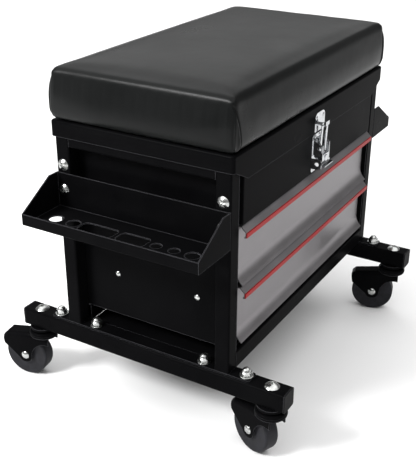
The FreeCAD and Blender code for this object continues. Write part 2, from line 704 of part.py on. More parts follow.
def cushion():
    low = PAN_TOP_Z + SEAT_GAP
    pad = rounded_box(-SEAT_X, SEAT_X, -SEAT_Y, SEAT_Y, low, SEAT_TOP_Z, SEAT_EDGE_R, (0, 0, 1))
    pad = pad.makeFillet(SEAT_EDGE_R - 1, [e for e in pad.Edges if e.BoundBox.ZMin > SEAT_TOP_Z - 0.01])
    g = SEAT_GAP
    return pad.cut(box(-BOARD_X - g, BOARD_X + g, -BOARD_Y - g, BOARD_Y + g, low - 1,
                       PAN_TOP_Z + BOARD_T + g))


def seat_screws():
    screws = []
    x, y = SEAT_SCREW
    z = PAN_TOP_Z - PAN_T
    for sx in (-1, 1):
        for sy in (-1, 1):
            head = dome(sx * x, sy * y, z, 6.0, 2.4, (0, 0, -1))
            screws.append(fuse([head, cyl(sx * x, sy * y, z - 0.2, 2.0, 10.0)]))
    return group(screws)


# ---------------------------------------------------------------- hinges
def knuckles(lid_side):
    """Spans along X of one leaf's knuckles on the right-hand hinge."""
    step = HINGE_W / 5
    start = HINGE_X - HINGE_W / 2
    spans = []
    for i in range(5):
        if (i % 2 == 1) == lid_side:
            g = KNUCKLE_GAP if lid_side else 0.0
            spans.append((start + i * step + g, start + (i + 1) * step - g))
    return spans


def hinge_leaf(lid_side):
    x0 = HINGE_X - HINGE_W / 2
    x1 = HINGE_X + HINGE_W / 2
    if lid_side:
        leaf = box(x0, x1, HINGE_Y + HINGE_R - LEAF_T, HINGE_Y + HINGE_R, HINGE_Z, HINGE_Z + LEAF_H)
    else:
        leaf = box(x0, x1, HINGE_Y - HINGE_R, HINGE_Y - HINGE_R + LEAF_T, HINGE_Z - LEAF_H - 8, HINGE_Z)
    for a, b in knuckles(not lid_side):
        g = KNUCKLE_GAP
        leaf = leaf.cut(cyl(a - g, HINGE_Y, HINGE_Z, HINGE_R + g, b - a + 2 * g, (1, 0, 0)))
    rolls = [cyl(a, HINGE_Y, HINGE_Z, HINGE_R, b - a, (1, 0, 0)) for a, b in knuckles(lid_side)]
    whole = fuse([leaf] + rolls)
    return whole.cut(cyl(x0 - 1, HINGE_Y, HINGE_Z, HINGE_PIN_R + RUN_GAP, HINGE_W + 2, (1, 0, 0)))


def hinge_pin():
    return cyl(HINGE_X - HINGE_W / 2, HINGE_Y, HINGE_Z, HINGE_PIN_R, HINGE_W, (1, 0, 0))


# ---------------------------------------------------------------- draw latch
def latch_base():
    """Plate on the front panel with two ears for the lever's pivots and a padlock tab at its left edge."""
    half = LATCH_W / 2
    low, high = LATCH_BASE_Z
    y = PANEL_Y
    plate = rounded_box(-half, half, y - LATCH_T, y, low, high, 3.0, (0, 1, 0))
    py, pz = LEVER_PIVOT
    ears = []
    for s in (-1, 1):
        a, b = sorted((s * (LEVER_W / 2 + 0.4), s * (LEVER_W / 2 + 0.4 + LATCH_T)))
        ears.append(prism_x([(y, pz - 11), (y, pz + 12), (py - 3.2, pz + 4), (py - 3.2, pz - 5)], a, b))
    tab = rounded_box(-half, -half + LATCH_T, y - 15, y, low + 6, low + 20, 3.0, (1, 0, 0))
    tab = tab.cut(cyl(-half - 1, y - 9, low + 13, 2.8, LATCH_T + 2, (1, 0, 0)))
    base = fuse([plate, tab] + ears)
    holes = [cyl(-40, py, pz, LATCH_PIN_R + HOLE_GAP, 80, (1, 0, 0))]
    holes += [cyl(x, y + 1, z, 1.6 + HOLE_GAP, 6, (0, -1, 0)) for x, z in base_rivet_spots()]
    return cut(base, holes)


def base_rivet_spots():
    low, high = LATCH_BASE_Z
    x = LATCH_W / 2 - 3.6
    return [(-x, low + 4.5), (x, low + 4.5), (-6.0, high - 3.4), (6.0, high - 3.4)]


def keeper_rivet_spots():
    x = LATCH_W / 2 - 5.0
    return [(-x, KEEPER_Z[1] - 6.5), (x, KEEPER_Z[1] - 6.5)]


def panel_rivet(x, z, seat_y, back_y):
    head = dome(x, seat_y, z, 2.8, 1.1, (0, -1, 0))
    return fuse([head, cyl(x, seat_y - 0.1, z, 1.6, back_y - seat_y + 0.1, (0, 1, 0))])


def latch_pin():
    """Short pivot rivet of one side, so the loop's arms can pass between the two."""
    py, pz = LEVER_PIVOT
    start = LEVER_W / 2 - 1.4
    ear = LEVER_W / 2 + 0.4 + LATCH_T
    shank = cyl(start, py, pz, LATCH_PIN_R, ear + 0.4 - start, (1, 0, 0))
    return fuse([shank, dome(ear, py, pz, LATCH_PIN_R + 1.0, 1.0, (1, 0, 0))])


def latch_lever():
    """Deep pressed lever: cheeks round the pivots and the loop's ends, a ribbed front and a finger lip."""
    half = LEVER_W / 2
    py, pz = LEVER_PIVOT
    ly, lz = LOOP_PIVOT
    front = py - 4.2
    back = py + 7.6
    low = LEVER_LOW_Z
    web = box(-half, half, front, front + 1.4, low + 1.5, lz + 0.4)
    rib = rounded_box(-3.2, 3.2, front - 1.2, front + 0.4, low + 3, lz - 1.5, 1.2, (0, 1, 0))
    lip = sheet_face([(front, low + 3), (front, low), (front - 5.0, low - 0.8)], 1.4, 0.6, -half - 2.5)
    lip = lip.extrude(V(LEVER_W + 5, 0, 0))
    cheeks = []
    for s in (-1, 1):
        a, b = sorted((s * half, s * (half - 1.4)))
        cheek = prism_x([(front, low + 1.5), (front + 4, low + 1.5), (back, low + 9), (back, pz - 2),
                         (py + 5.4, pz + 5), (front, pz + 5)], a, b)
        cheeks.append(cheek)
    lever = fuse([web, rib, lip] + cheeks)
    holes = [cyl(-20, py, pz, LATCH_PIN_R + RUN_GAP, 40, (1, 0, 0)),
             cyl(-20, ly, lz, LOOP_WIRE_R + RUN_GAP, 40, (1, 0, 0))]
    return cut(lever, holes)


def latch_loop():
    """Wire loop: short ends in the lever's cheeks, two arms and a bar in the keeper's hook."""
    ly, lz = LOOP_PIVOT
    end = LEVER_W / 2 + 0.2
    a = V(0, ly, lz)
    top = V(0, LOOP_Y, LOOP_TOP_Z)
    x = LOOP_HALF
    pts = [a + V(-end, 0, 0), a + V(-x, 0, 0), top + V(-x, 0, 0), top + V(x, 0, 0), a + V(x, 0, 0),
           a + V(end, 0, 0)]
    path = Part.Wire(round_corners(pts, [0, 1.7, 2.6, 2.6, 1.7, 0]))
    ring = Part.Wire(Part.makeCircle(LOOP_WIRE_R, pts[0], V(1, 0, 0)))
    return path.makePipeShell([ring], True, True)


def latch_keeper():
    """Plate on the lid with rounded top corners and a gutter-shaped hook for the loop."""
    half = LATCH_W / 2
    y = -PAN_Y
    low, high = KEEPER_Z
    plate = box(-half, half, y - 1.2, y, low, high)
    plate = plate.makeFillet(8.0, edges_along(plate, (0, 1, 0), lambda e: e.BoundBox.ZMin > high - 0.01))
    bar_low = LOOP_TOP_Z - LOOP_WIRE_R - 0.3
    hook = sheet_face([(y, bar_low - 1.2), (KEEPER_LIP_Y, bar_low - 1.2),
                       (KEEPER_LIP_Y, bar_low + KEEPER_LIP_H)],
                      -1.2, 0.8, -LOOP_HALF + 2.0)
    hook = hook.extrude(V(2 * (LOOP_HALF - 2.0), 0, 0))
    keeper = fuse([plate, hook])
    return cut(keeper, [cyl(x, y + 1, z, 1.6 + HOLE_GAP, 6, (0, -1, 0)) for x, z in keeper_rivet_spots()])


# ---------------------------------------------------------------- assembly
def pair(shape):
    return [mirror_x(shape), shape]


def four(make, offset):
    made = []
    for y in (-offset, offset):
        one = make(y)
        made += pair(one)
    return made


def build():
    nodes = {}
    nodes["base_tube_left"], nodes["base_tube_right"] = pair(base_tube())
    plug = tube_plug()
    nodes["tube_end_plugs"] = group(pair(plug) + pair(mirror_y(plug)))
    nodes["foot_bar_left"], nodes["foot_bar_right"] = pair(foot_bar())
    nodes["post_front_left"], nodes["post_front_right"] = pair(post(-POST_Y))
    nodes["post_rear_left"], nodes["post_rear_right"] = pair(post(POST_Y))
    nodes["crossbar_left"], nodes["crossbar_right"] = pair(crossbar())
    nodes["rail_front"] = rail()
    nodes["rail_rear"] = mirror_y(rail())
    nodes["base_sheet"] = base_sheet()
    nodes["frame_bolts"] = group([s for y in BOLT_YS for s in pair(frame_bolt(y))])
    nodes["frame_nuts"] = group([s for y in BOLT_YS for s in pair(acorn_nut(y))])
    nodes["caster_bolts"] = group(four(caster_bolt, STEM_Y) + four(caster_nut, STEM_Y))
    nodes["caster_races"] = group(four(caster_race, STEM_Y))
    for where in CASTER_ANGLES:
        nodes["caster_fork_" + where] = place_caster(caster_fork(), where)
        nodes["caster_axle_" + where] = place_caster(caster_axle(), where)
        nodes["caster_wheel_" + where] = place_caster(caster_wheel(), where)
    nodes["box_shell"] = box_shell()
    nodes["compartment_floor"] = compartment_floor()
    nodes["upper_front_panel"] = cut_latch_holes(upper_front_panel())
    nodes["slide_channels"] = group([s for z in slide_heights() for s in pair(slide_channel(z))])
    nodes["slide_rivets"] = group([s for z in slide_heights() for y in RIVET_YS for s in pair(slide_rivet(y, z))])
    tray = shelf_tray()
    nodes["tray_left"], nodes["tray_right"] = pair(tray)
    screws = [frame_screw(y, z, x) for y in (-POST_Y, POST_Y)
              for z, x in ((TRAY_SCREW_Z, POST_OUT_X + SHELF_T), (BOX_SCREW_Z, POST_OUT_X))]
    nodes["frame_screws"] = group([s for one in screws for s in pair(one)])
    for name, z0 in (("drawer_upper", DRAWER_LOW_Z + DRAWER_PITCH), ("drawer_lower", DRAWER_LOW_Z)):
        nodes[name + "_tray"] = drawer_tray(z0)
        nodes[name + "_front"] = drawer_front(z0)
        nodes[name + "_strip"] = drawer_strip(z0)
        nodes[name + "_runners"] = group(pair(slide_runner(z0 + SLIDE_Z)))
    nodes["lid_pan"] = cut_keeper_holes(lid_pan())
    nodes["seat_board"] = seat_board()
    nodes["cushion"] = cushion()
    nodes["cushion_screws"] = seat_screws()
    nodes["hinge_leaves_box"] = group(pair(hinge_leaf(False)))
    nodes["hinge_leaves_lid"] = group(pair(hinge_leaf(True)))
    nodes["hinge_pins"] = group(pair(hinge_pin()))
    nodes["latch_base"] = latch_base()
    nodes["latch_base_rivets"] = group([panel_rivet(x, z, PANEL_Y - LATCH_T, PANEL_Y + SHEET + 0.4)
                                        for x, z in base_rivet_spots()])
    nodes["latch_keeper"] = latch_keeper()
    nodes["latch_keeper_rivets"] = group([panel_rivet(x, z, -PAN_Y - 1.2, -PAN_Y + PAN_T + 0.4)
                                          for x, z in keeper_rivet_spots()])
    nodes["latch_lever"] = latch_lever()
    nodes["latch_pins"] = group(pair(latch_pin()))
    nodes["latch_loop"] = latch_loop()
    return nodes


def cut_latch_holes(panel):
    return cut(panel, [cyl(x, PANEL_Y - 1, z, 1.6 + HOLE_GAP, 4, (0, 1, 0)) for x, z in base_rivet_spots()])


def cut_keeper_holes(pan):
    return cut(pan, [cyl(x, -PAN_Y - 1, z, 1.6 + HOLE_GAP, 4, (0, 1, 0)) for x, z in keeper_rivet_spots()])


def export(nodes):
    """Write each piece, with the origin moved to the middle of the whole footprint."""
    whole = group(list(nodes.values())).optimalBoundingBox()
    move = V(-(whole.XMin + whole.XMax) / 2, -(whole.YMin + whole.YMax) / 2, 0)
    os.makedirs("parts", exist_ok=True)
    for name, shape in nodes.items():
        shape.translated(move).exportStep("parts/" + name + ".step")
        solids = shape.Solids
        state = "ok" if shape.isValid() and solids else "BAD"
        print("%-26s %s solids %d volume %.1f" % (name, state, len(solids), sum(s.Volume for s in solids)))
    print("nodes", len(nodes), "size %.1f x %.1f x %.1f" % (whole.XLength, whole.YLength, whole.ZLength),
          "moved %.2f %.2f" % (move.x, move.y))


export(build())
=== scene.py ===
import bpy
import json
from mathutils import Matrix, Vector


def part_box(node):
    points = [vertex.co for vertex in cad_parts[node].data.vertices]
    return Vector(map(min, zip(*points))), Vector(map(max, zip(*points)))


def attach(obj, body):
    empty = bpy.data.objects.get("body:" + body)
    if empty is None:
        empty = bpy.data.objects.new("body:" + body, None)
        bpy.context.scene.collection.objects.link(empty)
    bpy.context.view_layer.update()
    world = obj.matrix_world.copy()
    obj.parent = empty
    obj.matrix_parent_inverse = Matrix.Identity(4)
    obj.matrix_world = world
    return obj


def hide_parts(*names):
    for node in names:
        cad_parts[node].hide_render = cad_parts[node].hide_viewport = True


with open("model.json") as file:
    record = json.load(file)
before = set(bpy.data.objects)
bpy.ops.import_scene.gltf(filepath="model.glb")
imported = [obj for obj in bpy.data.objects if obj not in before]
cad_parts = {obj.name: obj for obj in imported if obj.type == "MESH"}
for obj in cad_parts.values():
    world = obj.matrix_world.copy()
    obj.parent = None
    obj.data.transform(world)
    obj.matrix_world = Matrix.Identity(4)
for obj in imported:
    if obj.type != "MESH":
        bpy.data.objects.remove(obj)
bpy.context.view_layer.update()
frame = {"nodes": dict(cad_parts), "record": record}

import json
import math

import bmesh
import bpy
import numpy as np
from bpy.props import FloatProperty, FloatVectorProperty, IntProperty, PointerProperty, StringProperty
from mathutils import Matrix, Vector

bl_info = {
    "name": "Rolling mechanic's seat",
    "version": (1, 0, 0),
    "blender": (4, 5, 0),
    "location": "3D View > Sidebar > Seat",
    "description": "Gives the packed rolling seat its cushion, finishes and studio",
    "category": "Object",
}

MM = 0.001
PAINT_LEVEL = 0.008  # specular level of the black paint, low so that the pale floor doesn't lighten it
HIGHLIGHT_WIDTH = 1.1  # millimetres of painted highlight along each edge of the black paint
WORLD_STRENGTH = 0.25


# ------------------------------------------------------------------ node and mesh helpers
def linear(code, alpha=1.0):
    """sRGB hex colour such as "1a1a1c" as the linear RGBA that Blender's sockets hold."""
    out = []
    for i in (0, 2, 4):
        c = int(code[i:i + 2], 16) / 255
        out.append(c / 12.92 if c <= 0.04045 else ((c + 0.055) / 1.055) ** 2.4)
    return (*out, alpha)


def add(tree, kind, settings=None, links=None):
    """Adds a node. Settings with a capital or a number are its sockets, the rest its own fields."""
    made = tree.nodes.new(kind)
    for key, value in (settings or {}).items():
        if isinstance(key, int) or key[0].isupper():
            made.inputs[key].default_value = value
        else:
            setattr(made, key, value)
    for key, source in (links or {}).items():
        tree.links.new(source, made.inputs[key])
    return made


def start_material(name):
    made = bpy.data.materials.new(name)
    made.use_nodes = True
    tree = made.node_tree
    tree.nodes.clear()
    out = add(tree, "ShaderNodeOutputMaterial")
    place = add(tree, "ShaderNodeTexCoord")
    return made, tree, out, place.outputs["Object"]


def noise(tree, where, size_mm, detail=2.0, rough=0.5):
    """Cloudy pattern whose lumps are about this many millimetres across."""
    return add(tree, "ShaderNodeTexNoise",
               {"Scale": 1 / (size_mm * MM), "Detail": detail, "Roughness": rough}, {"Vector": where})


def spread(tree, source, low, high, a=0.3, b=0.7):
    """Stretches a 0-1 pattern so that a..b gives low..high."""
    return add(tree, "ShaderNodeMapRange",
               {"From Min": a, "From Max": b, "To Min": low, "To Max": high}, {"Value": source}).outputs[0]


def two_tone(tree, source, dark, light, a=0.35, b=0.65):
    ramp = add(tree, "ShaderNodeValToRGB", {}, {0: source})
    ramp.color_ramp.elements[0].position = a
    ramp.color_ramp.elements[0].color = linear(dark)
    ramp.color_ramp.elements[1].position = b
    ramp.color_ramp.elements[1].color = linear(light)
    return ramp.outputs[0]


def bump(tree, height, depth_mm, strength, onto=None):
    links = {"Height": height}
    if onto is not None:
        links["Normal"] = onto
    return add(tree, "ShaderNodeBump", {"Distance": depth_mm * MM, "Strength": strength}, links).outputs[0]


def edge_mask(tree, radius_mm):
    """Strip along each edge, 1 on the edge and 0 away from it, from how a rounded edge would turn."""
    rounded = add(tree, "ShaderNodeBevel", {"samples": 6, "Radius": radius_mm * MM})
    flat = add(tree, "ShaderNodeNewGeometry")
    turn = add(tree, "ShaderNodeVectorMath", {"operation": "DOT_PRODUCT"},
               {0: rounded.outputs[0], 1: flat.outputs["Normal"]})
    return spread(tree, turn.outputs["Value"], 1.0, 0.0, 0.8, 0.98)


def finish_material(tree, out, settings, links):
    shader = add(tree, "ShaderNodeBsdfPrincipled", settings, links)
    tree.links.new(shader.outputs[0], out.inputs["Surface"])


def deselect():
    if bpy.context.object and bpy.context.object.mode != "OBJECT":
        bpy.ops.object.mode_set(mode="OBJECT")
    bpy.ops.object.select_all(action="DESELECT")


def pick(piece):
    deselect()
    piece.select_set(True)
    bpy.context.view_layer.objects.active = piece


def new_piece(name, finish):
    """Names the primitive that was just added and gives it its finish."""
    piece = bpy.context.object
    piece.name = name
    piece.data.name = name
    piece.data.materials.clear()
    piece.data.materials.append(finish)
    return piece


def settle(piece):
    """Puts the piece's place into its mesh, as a CAD node's is."""
    pick(piece)
    bpy.ops.object.transform_apply(location=True, rotation=True, scale=True)


def use_modifier(piece, kind, **settings):
    pick(piece)
    made = piece.modifiers.new(kind.title(), kind)
    for key, value in settings.items():
        setattr(made, key, value)
    bpy.ops.object.modifier_apply(modifier=made.name)


def select_where(piece, kind, test):
    """In edit mode, selects the vertices, edges or faces whose middle passes the test."""
    bpy.ops.mesh.select_all(action="DESELECT")
    bpy.ops.mesh.select_mode(type=kind)
    mesh = bmesh.from_edit_mesh(piece.data)
    group = {"VERT": mesh.verts, "EDGE": mesh.edges, "FACE": mesh.faces}[kind]
    found = 0
    for item in group:
        if kind == "VERT":
            middle, normal = item.co, item.normal
        elif kind == "EDGE":
            middle, normal = (item.verts[0].co + item.verts[1].co) / 2, None
        else:
            middle, normal = item.calc_center_median(), item.normal
        if test(middle, normal):
            item.select_set(True)
            found += 1
    mesh.select_flush_mode()
    bmesh.update_edit_mesh(piece.data)
    return found


# ------------------------------------------------------------------ settings
def colour(name, text, code):
    return StringProperty(name=name, description=text + ", as an sRGB hex value", default=code)


def length(name, text, mm, low=0.0, high=1000.0):
    return FloatProperty(name=name, description=text + ", in millimetres", default=mm, min=low, max=high)


class SeatFinishes(bpy.types.PropertyGroup):
    paint: colour("Frame paint", "Gloss powder coat on the frame, box and lid", "080809")
    # painted highlight: light grey laid on the black paint along every edge, standing in for the light that
    # rounded edges catch
    painted_highlight: colour("Paint on edges", "Powder coat where it is thin and polished along an edge", "4a4a4d")
    drawer_paint: colour("Drawer paint", "Silver-grey powder coat of the drawer fronts", "7b787a")
    strip: colour("Pull strip", "Red strip along each drawer pull", "8c0409")
    zinc: colour("Zinc plating", "Bright zinc plating on fasteners and slides", "c3c4c2")
    nickel: colour("Nickel plating", "Bright nickel plating on the latch", "c9cacc")
    vinyl: colour("Seat vinyl", "Black vinyl of the seat cover", "0f1010")
    wheel: colour("Wheel", "Hard grey tread of the casters", "1d1d20")
    plug: colour("Tube plugs", "Moulded plugs in the tube ends", "0a0a0b")
    wood: colour("Seat board", "Plywood under the foam", "b48a5a")
    peel: length("Orange peel", "Width of the lumps in the powder coat", 1.6, 0.2, 10)
    grain: length("Vinyl grain", "Width of one pebble of the vinyl's grain", 1.1, 0.2, 10)


class SeatCushion(bpy.types.PropertyGroup):
    voxel: length("Mesh size", "Size of the cloth mesh's cells", 4.0, 3, 10)
    inset: length("Slack", "How far the foam block starts inside the finished cushion", 1.5, 0, 20)
    swell: length("Swell", "The most that the cover may move outwards", 2.5, 0, 30)
    sink: length("Sink", "The most that the cover may move inwards", 0.5, 0, 10)
    crown: length("Crown", "Rise of the foam's top from its edges to its middle", 6.0, 0, 30)
    stand: length("Stand", "How far the cover's top edges stand above the foam's nominal height", 4.2, 0, 8)
    lean: length("Lean", "How far the sides lean in at their top", 5.0, 0, 20)
    pressure: FloatProperty(name="Pressure", description="Push of the foam on the cover",
                            default=4.0, min=0, max=20)
    steps: IntProperty(name="Steps", description="Frames that the cover is let swell for",
                       default=20, min=1, max=60)
    edge: length("Edge", "Roundness of the foam block's edges", 7.0, 1, 30)
    pleat_depth: length("Pleat depth", "Depth of the crease beside each corner", 3.1, 0, 10)
    pleat_place: length("Pleat place", "Distance of the crease from the corner at the bottom", 14.0, 2, 40)
    ridge: length("Ridge", "How far each folded corner stands out", 1.6, 0, 6)


class SeatStage(bpy.types.PropertyGroup):
    lens: FloatProperty(name="Lens", description="Focal length on a 36 mm sensor",
                        default=67.18, min=10, max=300)
    camera_place: FloatVectorProperty(name="Camera place",
                                      description="Where the camera stands, in metres",
                                      default=(-0.9727, -0.5531, 0.7073),
                                      subtype="TRANSLATION", unit="LENGTH")
    azimuth: FloatProperty(name="Azimuth", description="Direction of the camera round the seat, in degrees",
                           default=-59.56)
    elevation: FloatProperty(name="Elevation", description="Camera angle above the horizon, in degrees",
                             default=25.27)
    roll: FloatProperty(name="Roll", description="Camera turn about its own line of sight, in degrees",
                        default=0.24)
    floor: colour("Floor", "Pale studio floor", "f4f4f4")


# ------------------------------------------------------------------ finishes
def powder_coat(looks):
    """Gloss black powder coat on steel, sprayed and baked: deep black with a faint orange peel, and a
    painted highlight, a light grey strip, along every edge.
    """
    made, tree, out, where = start_material("powder_coat_gloss_black")
    cloud = noise(tree, where, 60, 3)
    peel = noise(tree, where, looks.peel, 2)
    rough = spread(tree, cloud.outputs[0], 0.26, 0.36)
    tone = two_tone(tree, cloud.outputs[0], looks.paint, "0b0b0c")
    edge = edge_mask(tree, HIGHLIGHT_WIDTH)
    # painted highlight: the paint colour is mixed towards a light grey in a thin strip along every edge
    highlight_mix = add(tree, "ShaderNodeMix", {"data_type": "RGBA"})
    tree.links.new(edge, highlight_mix.inputs[0])
    tree.links.new(tone, highlight_mix.inputs[6])
    highlight_mix.inputs[7].default_value = linear(looks.painted_highlight)
    normal = bump(tree, peel.outputs[0], 0.03, 0.25)
    finish_material(tree, out, {"IOR": 1.5, "Specular IOR Level": PAINT_LEVEL},
                    {"Base Color": highlight_mix.outputs[2], "Roughness": rough, "Normal": normal})
    return made


def drawer_coat(looks):
    """Silver-grey powder coat with fine metal flake: even grey with a soft satin glint."""
    made, tree, out, where = start_material("powder_coat_silver_grey")
    cloud = noise(tree, where, 45, 3)
    flake = noise(tree, where, 0.7, 1)
    mix = add(tree, "ShaderNodeMath", {"operation": "MULTIPLY_ADD", 1: 0.35, 2: 0.0}, {0: flake.outputs[0]})
    both = add(tree, "ShaderNodeMath", {"operation": "MULTIPLY_ADD", 1: 0.65},
               {0: cloud.outputs[0], 2: mix.outputs[0]})
    tone = two_tone(tree, both.outputs[0], looks.drawer_paint, "858284")
    rough = spread(tree, cloud.outputs[0], 0.34, 0.42)
    normal = bump(tree, flake.outputs[0], 0.02, 0.2)
    finish_material(tree, out, {"IOR": 1.5, "Metallic": 0.85},
                    {"Base Color": tone, "Roughness": rough, "Normal": normal})
    return made


def red_strip(looks):
    """Extruded red vinyl strip, pressed on the pull: saturated and glossy, with fine drawn lines."""
    made, tree, out, where = start_material("extruded_red_vinyl")
    lines = add(tree, "ShaderNodeMapping", {"Scale": (0.05, 1, 1)}, {"Vector": where})
    drawn = noise(tree, lines.outputs[0], 1.2, 2)
    tone = two_tone(tree, drawn.outputs[0], looks.strip, "98070c")
    rough = spread(tree, drawn.outputs[0], 0.3, 0.42)
    finish_material(tree, out, {"IOR": 1.52, "Specular IOR Level": 0.12},
                    {"Base Color": tone, "Roughness": rough,
                     "Normal": bump(tree, drawn.outputs[0], 0.03, 0.2)})
    return made


def zinc_plate(looks):
    """Bright zinc-plated steel, tumbled before plating: pale metal with faint cloudy patches."""
    made, tree, out, where = start_material("zinc_plated_steel")
    cloud = noise(tree, where, 6, 4)
    fine = noise(tree, where, 0.6, 2)
    tone = two_tone(tree, cloud.outputs[0], "a6a8a7", looks.zinc)
    rough = spread(tree, cloud.outputs[0], 0.2, 0.34)
    finish_material(tree, out, {"Metallic": 1.0}, {"Base Color": tone, "Roughness": rough,
                                                   "Normal": bump(tree, fine.outputs[0], 0.02, 0.15)})
    return made


def nickel_plate(looks):
    """Bright nickel on pressed steel: mirror-like, slightly warm, with soft press marks."""
    made, tree, out, where = start_material("nickel_plated_pressing")
    press = noise(tree, where, 4, 2)
    tone = two_tone(tree, press.outputs[0], "aeb0b2", looks.nickel)
    rough = spread(tree, press.outputs[0], 0.07, 0.14)
    finish_material(tree, out, {"Metallic": 1.0}, {"Base Color": tone, "Roughness": rough,
                                                   "Normal": bump(tree, press.outputs[0], 0.12, 0.3)})
    return made


def seat_vinyl(looks):
    """Embossed PVC upholstery vinyl: black, softly glossy, pebbled like leather, with soft creasing."""
    made, tree, out, where = start_material("embossed_black_vinyl")
    wobble = noise(tree, where, 3, 2)
    shift = add(tree, "ShaderNodeVectorMath", {"operation": "MULTIPLY_ADD", 1: (0.0006, 0.0006, 0.0006)},
                {0: wobble.outputs["Color"], 2: where})
    pebble = add(tree, "ShaderNodeTexVoronoi", {"feature": "SMOOTH_F1", "Scale": 1 / (looks.grain * MM),
                                                "Smoothness": 0.6}, {"Vector": shift.outputs[0]})
    slack = noise(tree, where, 26, 2)
    cloud = noise(tree, where, 90, 3)
    tone = two_tone(tree, cloud.outputs[0], looks.vinyl, "141515")
    rough = spread(tree, cloud.outputs[0], 0.27, 0.34)
    soft = bump(tree, slack.outputs[0], 1.2, 0.2)
    normal = bump(tree, pebble.outputs["Distance"], 0.12, 0.35, soft)
    finish_material(tree, out, {"IOR": 1.53, "Specular IOR Level": 0.08},
                    {"Base Color": tone, "Roughness": rough, "Normal": normal})
    return made


def wheel_tread(looks):
    """Moulded hard rubber wheel: dark grey, matt on the faces, a little polished where it rolls."""
    made, tree, out, where = start_material("moulded_hard_rubber")
    cloud = noise(tree, where, 9, 4)
    fine = noise(tree, where, 0.8, 2)
    tone = two_tone(tree, cloud.outputs[0], looks.wheel, "28282c")
    rough = spread(tree, cloud.outputs[0], 0.5, 0.68)
    finish_material(tree, out, {"IOR": 1.52, "Specular IOR Level": 0.12},
                    {"Base Color": tone, "Roughness": rough,
                     "Normal": bump(tree, fine.outputs[0], 0.05, 0.3)})
    return made


def plug_plastic(looks):
    """Injection-moulded polyethylene plug with a spark-eroded texture: dull black."""
    made, tree, out, where = start_material("moulded_polyethylene")
    fine = noise(tree, where, 0.7, 2)
    cloud = noise(tree, where, 8, 2)
    tone = two_tone(tree, cloud.outputs[0], looks.plug, "101011")
    finish_material(tree, out, {"IOR": 1.51, "Roughness": 0.55, "Specular IOR Level": 0.05},
                    {"Base Color": tone, "Normal": bump(tree, fine.outputs[0], 0.05, 0.4)})
    return made


def plywood(looks):
    """Rotary-cut plywood, sanded and left bare: pale wood with long stretched grain."""
    made, tree, out, where = start_material("plywood_bare")
    along = add(tree, "ShaderNodeMapping", {"Scale": (0.06, 1, 1)}, {"Vector": where})
    grain = noise(tree, along.outputs[0], 3, 5)
    tone = two_tone(tree, grain.outputs[0], "8f6a41", looks.wood)
    finish_material(tree, out, {"IOR": 1.5, "Roughness": 0.7},
                    {"Base Color": tone, "Normal": bump(tree, grain.outputs[0], 0.1, 0.3)})
    return made


def floor_paper(stage):
    """Matt seamless background paper: even and pale."""
    made, tree, out, where = start_material("seamless_paper")
    cloud = noise(tree, where, 900, 2)
    tone = two_tone(tree, cloud.outputs[0], stage.floor, "f6f6f6")
    finish_material(tree, out, {"Roughness": 0.9, "Specular IOR Level": 0.2}, {"Base Color": tone})
    return made


FINISH_OF_SLOT = {
    "powder_coat": powder_coat,
    "drawer_grey": drawer_coat,
    "red_strip": red_strip,
    "zinc_steel": zinc_plate,
    "chrome_latch": nickel_plate,
    "seat_vinyl": seat_vinyl,
    "wheel_grey": wheel_tread,
    "plug_plastic": plug_plastic,
    "plywood": plywood,
}


def finish_for(slot):
    """The finish of one of the record's material slots, made on first use."""
    maker = FINISH_OF_SLOT[slot]
    key = "finish_" + slot
    scene = bpy.context.scene
    if key not in scene:
        scene[key] = maker(scene.seat_finishes).name
    return bpy.data.materials[scene[key]]


class SEAT_OT_finishes(bpy.types.Operator):
    """Give every steel, plastic, rubber and plated piece its finish"""
    bl_idname = "seat.finishes"
    bl_label = "Finishes"

    def execute(self, context):
        for part in frame["record"]["subparts"]:
            node = frame["nodes"][part["node"]]
            made = finish_for(part["material_slot"])
            node.data.materials.clear()
            node.data.materials.append(made)
        return {"FINISHED"}


# ------------------------------------------------------------------ cushion
HELD_STRIP = 3 * MM  # bottom strip of the cover that is held down
EVEN_ROUNDS = 14  # rounds that even out the cover's movement
FOLD_NEAR, FOLD_FAR = 4 * MM, 9 * MM  # a fold fades out between these distances from its side
FOLD_REACH = 32 * MM  # how far along the long side a fold goes
CREASE_TOP = 2 * MM  # where the long side's crease leaves the corner
CREASE_WIDTH = 1.1 * MM
FLAP_WIDTH, FLAP_EDGE = 9 * MM, 1.4 * MM
FLAP_LIFT = 1.1
END_REACH = 12 * MM  # how far along the end a fold goes
END_CREASE_PLACE, END_CREASE_WIDTH = 5.5 * MM, 1.2 * MM
END_CREASE_SHARE = 0.55  # depth of the end's crease against the long side's
CORNER_SHARE = 0.7  # part of the ridge along each of the two directions
RIPPLE_HEIGHT = 0.22
FINE_ALONG, FINE_ACROSS = 28 * MM, 9 * MM  # finer faces by the long side's fold
FINE_END = 14 * MM  # and by the end's
FINE_ABOVE = 2 * MM
BOARD_GAP = 0.3 * MM
CUT_PAST = 2 * MM  # how far the cutter passes the cushion's underside


def foam_block(name, low, high, edge):
    """Rounded block of foam, a primitive bevelled along all its edges."""
    deselect()
    bpy.ops.mesh.primitive_cube_add(size=1, location=(low + high) / 2)
    block = bpy.context.object
    block.name = name
    block.scale = high - low
    settle(block)
    bpy.ops.object.mode_set(mode="EDIT")
    bpy.ops.mesh.select_all(action="SELECT")
    bpy.ops.mesh.bevel(offset=edge, segments=4, profile=0.5, affect="EDGES")
    bpy.ops.object.mode_set(mode="OBJECT")
    return block


def evened(piece, values, rounds):
    """Evens out one value per vertex with its neighbours' over some rounds."""
    mesh = piece.data
    pairs = np.empty(len(mesh.edges) * 2, dtype=np.int64)
    mesh.edges.foreach_get("vertices", pairs)
    pairs = pairs.reshape(-1, 2)
    count = np.bincount(pairs.ravel(), minlength=len(values))
    values = np.array(values)
    for _ in range(rounds):
        around = np.bincount(pairs[:, 0], values[pairs[:, 1]], len(values))
        around += np.bincount(pairs[:, 1], values[pairs[:, 0]], len(values))
        values = 0.5 * values + 0.5 * around / np.maximum(count, 1)
    return values.tolist()


